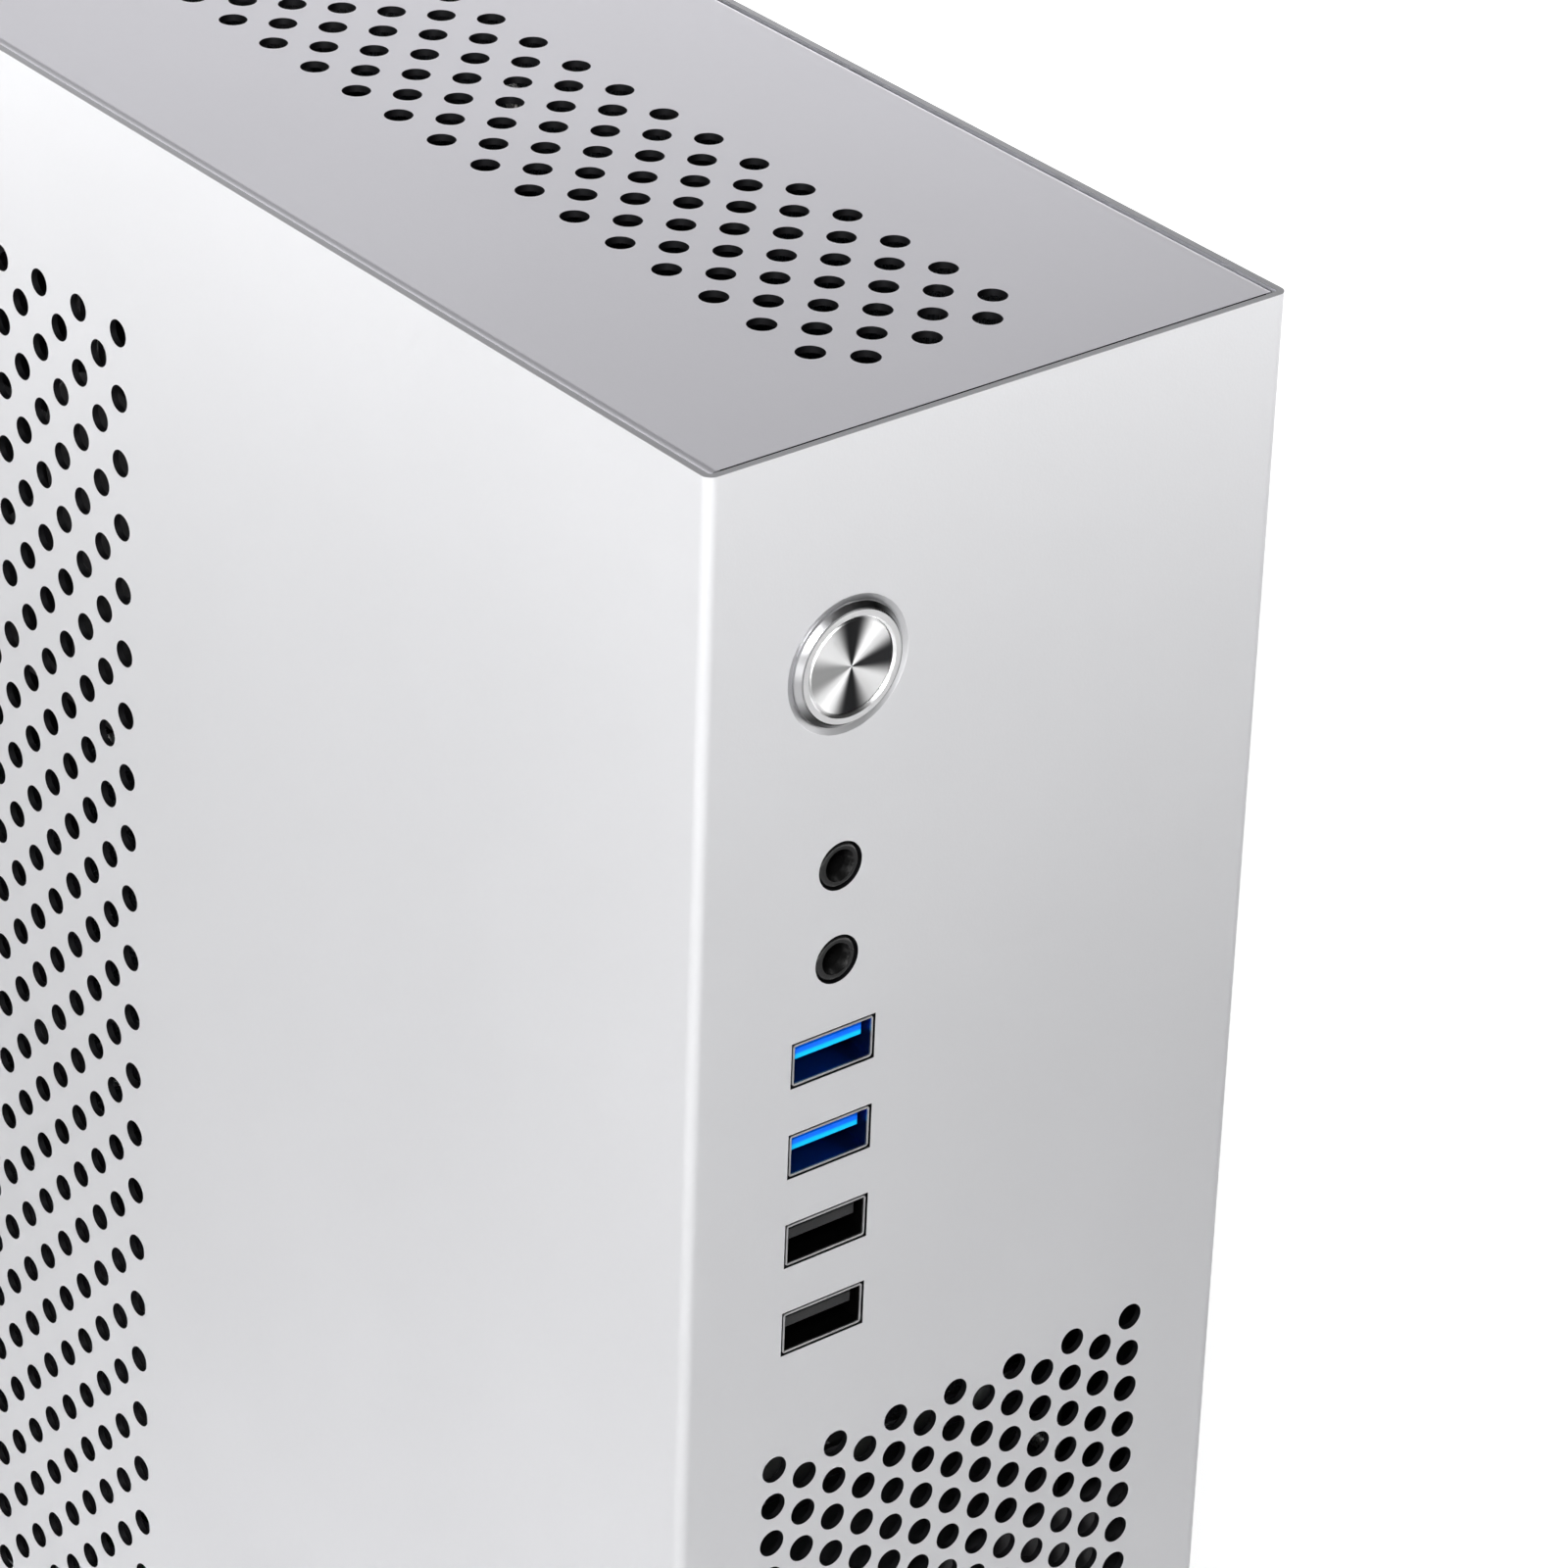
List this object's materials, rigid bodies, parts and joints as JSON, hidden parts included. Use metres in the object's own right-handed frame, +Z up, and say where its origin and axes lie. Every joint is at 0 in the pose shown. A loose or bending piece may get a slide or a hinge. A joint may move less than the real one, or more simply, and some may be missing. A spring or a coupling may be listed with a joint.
{
  "type": "desktop computer tower",
  "caption": "slim upright desktop computer with a perforated satin aluminium wrap, front button, sound jacks and data ports, and its working inside",
  "frame": {"origin": "centre of the overall box at the floor under the rubber feet", "axes": "+X to the right seen from the front, +Y from the front face towards the rear panel, +Z up"},
  "size_m": [0.094, 0.2818, 0.317],
  "materials": {
    "satin_aluminium": "bead-blasted and clear anodised",
    "button_metal": "turned and nickel plated",
    "cap_metal": "spun face, clear anodised",
    "zinc_steel": "bright zinc plated sheet",
    "screw_steel": "nickel plated",
    "standoff_brass": "turned brass",
    "port_steel": "tin plated shell",
    "usb3_blue": "moulded, fine texture",
    "black_plastic": "moulded, fine texture",
    "fan_plastic": "moulded, semi-gloss",
    "board_black": "solder mask on glass fibre",
    "board_green": "solder mask on glass fibre",
    "heatsink_aluminium": "extruded and skived, plain",
    "cpu_metal": "nickel plated lid",
    "drive_black": "fine matt paint",
    "foot_rubber": "moulded rubber",
    "cable_black": "flexible sleeve",
    "contact_metal": "plated contacts",
    "spring_steel": "music wire"
  },
  "bodies": {
    "chassis": {"outer_shell": "satin_aluminium", "top_cover": "satin_aluminium", "base_plate": "satin_aluminium", "button_housing": "button_metal", "button_nut": "button_metal", "rear_panel": "zinc_steel", "motherboard_tray": "zinc_steel", "front_bracket": "zinc_steel", "drive_tray": "zinc_steel", "io_shield": "zinc_steel", "slot_covers": "zinc_steel", "psu_housing": "zinc_steel", "psu_lid": "zinc_steel", "m3_screws": "screw_steel", "thumbscrews": "screw_steel", "psu_fan_guard": "screw_steel", "standoffs": "standoff_brass", "usb3_shells": "port_steel", "usb2_shells": "port_steel", "rear_usb_ports": "port_steel", "rear_network_port": "port_steel", "rear_display_ports": "port_steel", "usb3_tongues": "usb3_blue", "usb2_tongues": "black_plastic", "audio_jacks": "black_plastic", "rear_audio_ports": "black_plastic", "cpu_socket": "black_plastic", "memory_slots": "black_plastic", "expansion_connectors": "black_plastic", "board_headers": "black_plastic", "psu_inlet": "black_plastic", "psu_switch_bezel": "black_plastic", "cooler_fan_frame": "fan_plastic", "front_fan_frame": "fan_plastic", "psu_fan_frame": "fan_plastic", "motherboard": "board_black", "memory_module_1": "board_black", "memory_module_2": "board_black", "m2_ssd": "board_black", "front_io_board": "board_black", "psu_board": "board_green", "cooler_heatsink": "heatsink_aluminium", "chipset_heatsink": "heatsink_aluminium", "vrm_heatsink": "heatsink_aluminium", "cpu": "cpu_metal", "solid_state_drive": "drive_black", "feet": "foot_rubber", "main_power_cable": "cable_black", "front_usb_cable": "cable_black", "button_lead": "cable_black", "psu_inlet_pins": "contact_metal", "button_spring": "spring_steel"},
    "button": {"button_cap": "cap_metal"},
    "cooler_fan": {"cooler_fan_rotor": "fan_plastic"},
    "front_fan": {"front_fan_rotor": "fan_plastic"},
    "psu_fan": {"psu_fan_rotor": "fan_plastic"},
    "rocker": {"psu_rocker": "black_plastic"},
    "latch_1": {"memory_latch_1": "black_plastic"},
    "latch_2": {"memory_latch_2": "black_plastic"}
  },
  "joints": [
    {"name": "power_button", "type": "slide", "parent": "chassis", "child": "button", "axis": [0, 1, 0], "range_m": [0, 0.0015], "stiffness_N_per_m": 1500, "springref_m": -0.0012, "deforming": ["button_spring"]},
    {"name": "cooler_fan_spin", "type": "hinge", "parent": "chassis", "child": "cooler_fan", "pos_m": [-0.01, 0.0394, 0.233], "axis": [1, 0, 0], "continuous": true},
    {"name": "front_fan_spin", "type": "hinge", "parent": "chassis", "child": "front_fan", "pos_m": [0, -0.125, 0.0948], "axis": [0, 1, 0], "continuous": true},
    {"name": "psu_fan_spin", "type": "hinge", "parent": "chassis", "child": "psu_fan", "pos_m": [0.0145, 0.1249, 0.02845], "axis": [0, 1, 0], "continuous": true},
    {"name": "mains_rocker", "type": "hinge", "parent": "chassis", "child": "rocker", "pos_m": [-0.021, 0.1337, 0.0407], "axis": [0, 0, 1], "range_deg": [0, 16]},
    {"name": "memory_latch_1", "type": "hinge", "parent": "chassis", "child": "latch_1", "pos_m": [0.0316, -0.041, 0.2982], "axis": [0, 1, 0], "range_deg": [0, 30]},
    {"name": "memory_latch_2", "type": "hinge", "parent": "chassis", "child": "latch_2", "pos_m": [0.0316, -0.031, 0.2982], "axis": [0, 1, 0], "range_deg": [0, 30]}
  ]
}
